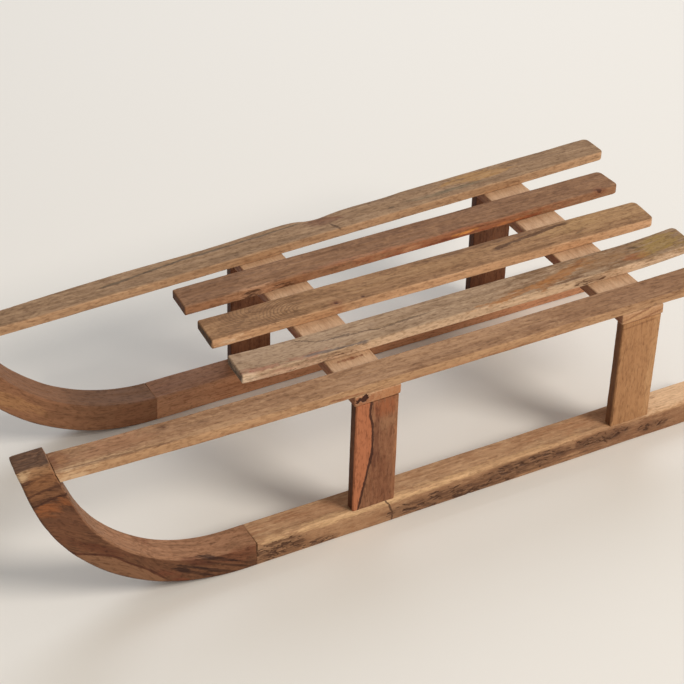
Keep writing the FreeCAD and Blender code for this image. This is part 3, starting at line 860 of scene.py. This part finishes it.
rightSlat = {
    "tones": [(150, 112, 80), (128, 91, 64), (94, 62, 42)],
    "side": (160, 114, 82, 0.8),
    # painted shade: the front end much darker than end grain alone
    "end": (74, 34, 17, 1.0),
    "pith": (0, 90, 80),
    "stains": [
        blot((140, 34, 132), (88, 2.6, 14), (150, 90, 60), 0.65, softness=0.3),
        blot((130, 34, 130.5), (70, 2.6, 2), (142, 78, 48), 0.75),
        blot((133, 34, 132.5), (13, 2.4, 1.5), (218, 148, 78), 0.9, tilt=-2),
        blot((172, 34, 131), (12, 2.4, 1.2), (196, 128, 76), 0.7),
        blot((112, 34, 131), (14, 2.4, 1.2), (98, 46, 28), 0.8),
        blot((84, 34, 132), (9, 2.4, 2), (196, 146, 108), 0.7),
        blot((152, 34, 134), (16, 2.4, 1), (96, 46, 28), 0.6),
        blot((-52, 34, 131.5), (20, 2.6, 5), (206, 160, 126), 0.6),
        blot((-90, 48, seatTop), (24, 12, 3), (118, 84, 60), 0.4),
        blot((40, 36, 135.5), (60, 2, 2), (176, 120, 86), 0.45),
    ],
    "knots": [knotAt((262, 37, 135.5), 7, 1.3, spacing=1.8, halo=(120, 70, 44), tint=(84, 46, 28))],
}
leftSlatPatches = [
    roughPatch((-60, -66, 132), (52, 3, 4), depth=0.4, bar=0.2, tone=0.1, bark=0.6),
    roughPatch((186, -66, 132), (16, 3, 3), depth=0.3, bar=0.3, tone=0.1, bark=0.9),
]
rightSlatPatches = [
    roughPatch((-56, 33.5, 131.5), (9, 4, 3.6), depth=0.5, bar=0.12, tone=0.2),
    roughPatch((-30, 33.5, 130.5), (14, 4, 3), depth=0.5, bar=0.14, tone=0.2),
    roughPatch((20, 33.5, 134), (16, 4, 2), depth=0.4, bar=0.16, tone=0.2, bark=0.7),
]
seatWoods = {
    "side_rail_left": (makeWood("leftRailWood", **leftRail), ()),
    "side_rail_right": (makeWood("rightRailWood", **rightRail), ()),
    "seat_slat_left": (makeWood("leftSlatWood", **leftSlat), leftSlatPatches),
    "seat_slat_centre": (makeWood("centreSlatWood", **centreSlat), ()),
    "seat_slat_right": (makeWood("rightSlatWood", **rightSlat), rightSlatPatches),
}
for name, (material, patches) in seatWoods.items():
    sandPiece(name, material, patches=patches)
print("seat made")

crossbar = {
    "turn": (0, 0, 90),
    "tones": [(202, 164, 130), (184, 147, 115), (150, 112, 84)],
    "side": (176, 128, 88, 0.3),
    "end": (166, 110, 72, 0.85),
    "edge": 0.1,
    # painted shade on the faces towards the front
    "front": (122, 62, 38, 0.9),
    "pit": (66, 36, 25),
    "streaks": 0.3,
    "rings": 0.15,
    "pores": 0.25,
    "flecks": 0.2,
    "silver": 0.4,
    "stains": [
        blot((0, -90, 127), (50, 10, 4), (176, 118, 72), 0.4),
        blot((-27, -69, 128.3), (12, 1.4, 2), (122, 70, 44), 0.8),
        blot((-14, leftSide, 124), (14, 3, 5), (172, 116, 76), 0.5),
        blot((-40, leftSide, 123), (11, 3, 4), (142, 84, 56), 0.6),
    ],
}
rearCrossbar = {
    **crossbar,
    "end": (174, 128, 90, 0.85),
    "stains": [
        blot((0, -90, 127), (50, 10, 4), (176, 118, 72), 0.4),
        blot((200, leftSide, 126), (18, 3, 1), (122, 78, 50), 0.7, tilt=-14),
        blot((208, leftSide, 121), (16, 3, 0.9), (128, 84, 54), 0.7, tilt=-12),
        blot((196, leftSide, 123), (16, 3, 1.2), (196, 154, 112), 0.6, tilt=-14),
    ],
}
# a broken-out hollow, its floor darkened by the pit tone as painted shade
voidSettings = {"turn": -14, "ragged": 0.6, "depth": 1.1, "hollow": True, "bark": 0.0}
voidPatch = roughPatch((-39.5, leftSide, 125.2), (6, 3, 2.8), **voidSettings)
sandPiece("crossbar_front", makeWood("crossbarWood", **crossbar), "y", [voidPatch])
sandPiece("crossbar_rear", makeWood("rearCrossbarWood", **rearCrossbar), "y")

plainPost = {
    "turn": (0, 90, 0),
    "tones": [(176, 132, 92), (156, 112, 76), (124, 84, 54)],
    "side": (166, 120, 80, 0.55),
    # painted shade on the faces towards the front
    "front": (92, 54, 34, 0.85),
    "streaks": 0.35,
    "bands": 0.45,
    "pores": 0.4,
    "flecks": 0.35,
    "silver": 0.4,
    "rings": 0.25,
    "stains": [
        blot((203, -112, 116), (22, 3, 0.9), (116, 74, 46), 0.6, tilt=-4, ragged=1),
        blot((218, -112, 70), (3, 3, 60), (192, 150, 108), 0.5),
    ],
}
redPost = {
    "turn": (0, 90, 0),
    "tones": [(154, 110, 80), (128, 84, 58), (92, 54, 36)],
    "side": (134, 88, 62, 0.35),
    # painted shade on the faces towards the front
    "front": (66, 32, 19, 1.0),
    "rings": 0.25,
    "stains": [
        blot((-20, -112, 112), (9, 3, 9), (152, 88, 54), 0.7),
        blot((-10, -112, 70), (2.4, 3, 56), (166, 116, 80), 0.7),
        blot((-20, -112, 40), (12, 3, 26), (116, 70, 46), 0.5),
        blot((-19, -112, 97), (9, 3, 6), (152, 112, 82), 0.5),
        blot((-27, -112, 84), (3, 3, 24), (92, 50, 36), 0.6),
    ],
    "seamsAndShadowLines": [
        lineAlong(
            "ZX", leftSide,
            [(19, -41.5), (28, -39.2), (37, -37.3), (48, -35.2), (59, -33.2),
             (68, -31.4), (76, -30.4), (85, -30.2), (98, -31), (111, -32.8), (120, -32.4)],
            (56, 28, 20), 0.9, reach=1.6, width=1.3, waver=2.0, field=(176, 108, 73), fieldAmount=0.85,
            softness=0.8,
        ),
    ],
}
# painted shade: a darker copy of the red post for the far posts, which stand in shade
shadedFarPost = {
    **redPost,
    "seamsAndShadowLines": [],
    "stains": [],
    "tones": [(132, 88, 60), (112, 70, 47), (92, 54, 36)],
    "side": (116, 72, 48, 0.35),
}
postWoods = {
    "post_front_left": makeWood("frontPostWood", **redPost),
    "post_front_right": makeWood("shadedFarPostWood", **shadedFarPost),
    "post_rear_left": makeWood("postWood", **plainPost),
}
# the far rear post shares the far posts' painted shade
postWoods["post_rear_right"] = postWoods["post_front_right"]
for name, material in postWoods.items():
    sandPiece(name, material, length="z")
print("posts and crossbars made")

leftRunner = {
    "tones": [(206, 166, 128), (174, 132, 98), (124, 86, 60)],
    "side": (150, 111, 80, 0.7),
    "pith": (0, -80, 60),
    "pit": (84, 57, 41),
    "bark": (98, 68, 49),
    "bands": 0.7,
    "edge": 0.5,
    "mottle": 0.7,
    "flecks": 0.3,
    "pores": 0.35,
    "stains": [
        blot((-40, -111, 20), (90, 4, 3), (222, 184, 140), 0.7),
        blot((80, -111, 21), (90, 4, 2.2), (216, 176, 132), 0.6),
        blot((230, -111, 21), (60, 4, 2.2), (206, 160, 116), 0.5),
        blot((-100, -112, 6), (26, 3, 6), (132, 92, 64), 0.5),
        blot((30, -112, 8), (46, 3, 8), (124, 86, 60), 0.6),
        blot((110, -112, 11), (50, 3, 9), (118, 82, 58), 0.7),
        blot((190, -112, 10), (46, 3, 11), (122, 84, 60), 0.7),
        blot((250, -112, 8), (50, 3, 12), (126, 86, 60), 0.6),
        blot((-60, -100, 21.5), (60, 6, 2), (156, 106, 76), 0.4),
        blot((200, -100, 21.5), (60, 6, 2), (170, 118, 82), 0.4),
        # painted light: the runner's top lighter at the rear
        blot((262, -98, 21.5), (50, 14, 3), (230, 194, 156), 0.9),
    ],
    "knots": [
        knotAt(
            (160, leftSide, 13.5), 6, 1.3, spacing=2.4, core=0.0, halo=(78, 48, 33), haloShare=0.3,
            circles=1.0,
        ),
        knotAt((194, leftSide, 12), 6, 1.8, halo=(104, 66, 46), tint=(62, 36, 27)),
    ],
    "seamsAndShadowLines": [
        lineAlong(
            "XZ", leftSide, [(20, 9), (60, 8), (100, 9.5), (140, 11), (170, 8)], (92, 60, 42), 0.6,
            ends=(24, 160), fade=10, waver=3, width=1.0,
        ),
        lineAlong(
            "XZ", leftSide, [(30, 3.5), (80, 4), (130, 5), (180, 4)], (98, 66, 46), 0.55, ends=(40, 176),
            fade=10, waver=3, width=0.9,
        ),
        lineAlong(
            "ZX", leftSide, [(0, -11.5), (7, -10.5), (14, -12.5), (21, -16.5)], (70, 44, 30), 0.8, width=1.0,
        ),
    ],
}
runnerPatches = [
    roughPatch((-106, leftSide, 9), (24, 4, 10), slope=6, depth=0.8, bar=0.3, grain=(7.0, 1.4)),
    roughPatch((-70, leftSide, 4), (14, 4, 4), depth=0.7, bar=0.34),
    roughPatch((26, leftSide, 7), (44, 4, 7), slope=3, depth=0.8, bar=0.34),
    roughPatch((66, leftSide, 3), (34, 4, 4), depth=0.7, bar=0.3),
    roughPatch((108, leftSide, 12), (46, 4, 7), slope=4, depth=0.9, bar=0.36, grain=(6.0, 1.3)),
    roughPatch((178, leftSide, 13), (28, 4, 6), depth=0.9, bar=0.32, curl=9, grain=(5.0, 1.3)),
    roughPatch((228, leftSide, 9), (16, 4, 5), depth=0.8, bar=0.28, curl=5),
]
rightRunner = {
    "tones": [(160, 112, 82), (138, 94, 66), (98, 64, 44)],
    # painted light: the side made lighter against the seat's shadow over it
    "side": (198, 142, 105, 0.85),
    "pith": (0, 160, 70),
    "stains": [
        blot((-92, 78.4, 15), (3, 2, 1.4), (88, 40, 28), 0.9, ragged=1),
        blot((-92, 78.4, 14.5), (7, 2.5, 3.4), (156, 92, 64), 0.5),
        blot((-104, 90, 21.5), (10, 3, 2), (112, 64, 44), 0.5),
        blot((-92, 79, 10), (34, 3, 14), (206, 156, 120), 0.6),
        blot((-92, 92, 21.5), (34, 16, 3), (160, 116, 88), 0.6),
        blot((-40, 78, 12), (60, 3, 4), (150, 96, 66), 0.4),
    ],
}
leftRunnerWood = makeWood("leftRunnerWood", **leftRunner)
sandPiece("runner_left", leftRunnerWood, patches=runnerPatches, edgeDepth=1.3 * millimetre)
sandPiece("runner_right", makeWood("rightRunnerWood", **rightRunner))

leftHorn = {
    "bend": [(-301, 0), (-280, 2), (-262, 14), (-240, 28), (-220, 42), (-197, 68), (-165, 84), (-124, 96)],
    "tones": [(120, 80, 54), (90, 58, 39), (56, 33, 21)],
    "side": (90, 56, 37, 0.35),
    # painted light: the concave top lighter, as lit from above
    "top": (172, 128, 97, 0.85),
    "end": (104, 76, 54, 0.6),
    "pith": (0, -160, 90),
    "spacing": 2.6,
    "rings": 0.55,
    "streaks": 0.7,
    "flecks": 0.6,
    "pores": 0.55,
    "silver": 0.9,
    "mottle": 0.9,
    "stains": [
        blot((-287, -100, 149.5), (30, 30, 6), (90, 62, 43), 1.1, ragged=0.3, softness=0.2, onTop=True),
        blot((-186, -98, 24), (3, 2, 9), (70, 40, 26), 0.8, ragged=1),
        blot((-207, -92, 42), (7, 4, 9), (112, 66, 42), 0.6),
        blot((-288, leftSide, 147), (16, 3, 4), (168, 128, 92), 0.75),
        blot((-298, leftSide, 146), (6, 3, 5), (196, 164, 128), 0.85),
        blot((-284, leftSide, 137), (16, 3, 8), (146, 100, 64), 0.7),
        blot((-282, leftSide, 126), (15, 3, 3), (132, 90, 60), 0.6),
        blot((-280, leftSide, 114), (13, 3, 6), (150, 90, 50), 0.75),
        blot((-268, leftSide, 92), (18, 3, 14), (112, 72, 50), 0.5),
        blot((-246, leftSide, 64), (30, 3, 3.5), (98, 54, 34), 0.6, tilt=36),
        blot((-196, leftSide, 22), (13, 3, 2.8), (114, 62, 41), 0.6, tilt=26),
        blot((-182, leftSide, 19), (8, 3, 1.4), (46, 26, 18), 0.9, tilt=30),
        blot((-170, leftSide, 22), (16, 3, 3), (92, 50, 34), 0.6, tilt=30),
        blot((-138, leftSide, 16), (14, 3, 7), (128, 78, 54), 0.5),
        blot((-162, leftSide, 12), (30, 3, 1.3), (50, 28, 19), 0.9, tilt=28),
        blot((-156, leftSide, 20), (26, 3, 1.2), (54, 30, 21), 0.9, tilt=28),
        blot((-146, leftSide, 10), (18, 3, 1), (56, 32, 21), 0.8, tilt=26),
        blot((-174, leftSide, 13), (16, 3, 1.2), (52, 28, 20), 0.9, tilt=30),
        blot((-168, leftSide, 25), (14, 3, 1), (58, 32, 22), 0.8, tilt=30),
        blot((-150, leftSide, 27), (16, 3, 1), (132, 88, 62), 0.6, tilt=26),
        blot((-184, leftSide, 10), (8, 3, 2), (118, 62, 41), 0.5, tilt=34),
    ],
    "seamsAndShadowLines": [
        lineAlong(
            "XZ", leftSide, [(-300, 125), (-290, 129), (-282, 130.5), (-268, 131)], (78, 46, 30), 0.75,
            width=1.3,
        ),
        lineAlong(
            "XZ", leftSide, [(-300, 117), (-288, 119.5), (-276, 121.5), (-264, 121)], (68, 38, 24), 0.85,
            width=1.1,
        ),
        lineAlong(
            "XZ", leftSide,
            [(-272, 74), (-262, 66), (-250, 61), (-236, 54), (-222, 41), (-210, 31), (-197, 17)],
            (80, 42, 26), 0.85, ends=(-268, -199), fade=3, width=1.4, field=(136, 98, 71), fieldAmount=0.7,
            softness=2,
        ),
    ],
    "knots": [
        knotAt((-203, -92, 27), 5, 1.2, halo=(118, 68, 44), tint=(72, 40, 28)),
        knotAt((-176, -92, 22), 3, 1.2, halo=(120, 76, 52), tint=(84, 50, 36)),
    ],
}
rightHorn = {
    "bend": [(-296, 0), (-270, 8), (-240, 24), (-200, 52), (-160, 66), (-118, 70)],
    "tones": [(150, 108, 78), (126, 88, 63), (90, 60, 42)],
    # painted light on the side, against the seat's shadow, and painted shade on the top
    "side": (148, 103, 74, 0.6),
    "top": (120, 84, 60, 0.6),
    "end": (120, 88, 66, 0.6),
    "pith": (0, 20, 100),
    "stains": [
        blot((-236, 79, 58), (26, 6, 5), (178, 132, 88), 0.55, tilt=40),
        blot((-262, 79, 84), (26, 6, 5), (166, 124, 84), 0.5, tilt=50),
        blot((-136, 79, 12), (20, 4, 14), (142, 96, 68), 0.6),
        blot((-180, 92, 34), (50, 20, 6), (118, 84, 60), 0.4),
    ],
}
sandPiece("horn_left", makeWood("leftHornWood", **leftHorn))
sandPiece("horn_right", makeWood("rightHornWood", **rightHorn))
print("runners and horns made")


# lengths in metres
studio = {
    "floorColour": (232, 230, 226),
    "floorRoughness": 0.75,
    "floorSize": 12.0,
    "floorDrop": 0.05 * millimetre,
    "worldColour": (255, 249, 240),
    "worldStrength": 0.4,
    "aim": (0, 0, 0.08),
}
lamps = {
    "keyLamp": {"place": (2.0, -3.1, 2.9), "size": 1.7, "power": 154.0, "tint": (255, 246, 234)},
    "fillLamp": {"place": (0.9, 1.5, 1.9), "size": 1.8, "power": 22.0, "tint": (240, 246, 255)},
}
view = {
    "place": (-0.633964, -1.141423, 1.031508),
    "turn": (54.1997, -1.4470, -28.1803),
    "lens": 110.026,
    "nearest": 0.05,
}


def makeFloor():
    data = bpy.data.meshes.new("floor")
    half = studio["floorSize"] / 2
    corners = [(-half, -half, 0), (half, -half, 0), (half, half, 0), (-half, half, 0)]
    data.from_pydata(corners, [], [(0, 1, 2, 3)])
    floor = bpy.data.objects.new("floor", data)
    bpy.context.scene.collection.objects.link(floor)
    material = bpy.data.materials.new("paleFloor")
    material.use_nodes = True
    surface = material.node_tree.nodes["Principled BSDF"]
    surface.inputs["Base Color"].default_value = colour(*studio["floorColour"])
    surface.inputs["Roughness"].default_value = studio["floorRoughness"]
    data.materials.append(material)
    floor.location.z = -studio["floorDrop"]


def addLamp(name, place, size, power, tint):
    data = bpy.data.lights.new(name, "AREA")
    data.shape = "DISK"
    data.size = size
    data.energy = power
    data.color = colour(*tint)[:3]
    lamp = bpy.data.objects.new(name, data)
    lamp.location = place
    aim = Vector(studio["aim"]) - Vector(place)
    lamp.rotation_euler = aim.to_track_quat("-Z", "Y").to_euler()
    bpy.context.scene.collection.objects.link(lamp)


def makeWorld():
    # the camera sees the floor's tone behind it; everything else is lit by a warmer, dimmer sky
    world = bpy.data.worlds.new("studio")
    world.use_nodes = True
    tree = world.node_tree
    tree.nodes.clear()
    seen = addNode(tree, "LightPath").outputs["Is Camera Ray"]
    sky = {"Color": colour(*studio["worldColour"]), "Strength": studio["worldStrength"]}
    backdrop = {"Color": colour(*studio["floorColour"]), "Strength": 1.0}
    lights = [addNode(tree, "Background", inputs).outputs[0] for inputs in (sky, backdrop)]
    mixed = addNode(tree, "MixShader", {0: seen, 1: lights[0], 2: lights[1]})
    addNode(tree, "OutputWorld", {"Surface": mixed.outputs[0]})
    bpy.context.scene.world = world


def makeCamera():
    camera = bpy.data.objects.new("camera", bpy.data.cameras.new("camera"))
    camera.location = view["place"]
    camera.rotation_euler = radians(view["turn"])
    camera.data.lens = view["lens"]
    camera.data.clip_start = view["nearest"]
    bpy.context.scene.collection.objects.link(camera)
    bpy.context.scene.camera = camera


makeFloor()
makeWorld()
for name, lamp in lamps.items():
    addLamp(name, **lamp)
makeCamera()
bpy.context.scene.view_settings.view_transform = "Standard"
print("studio and camera made")
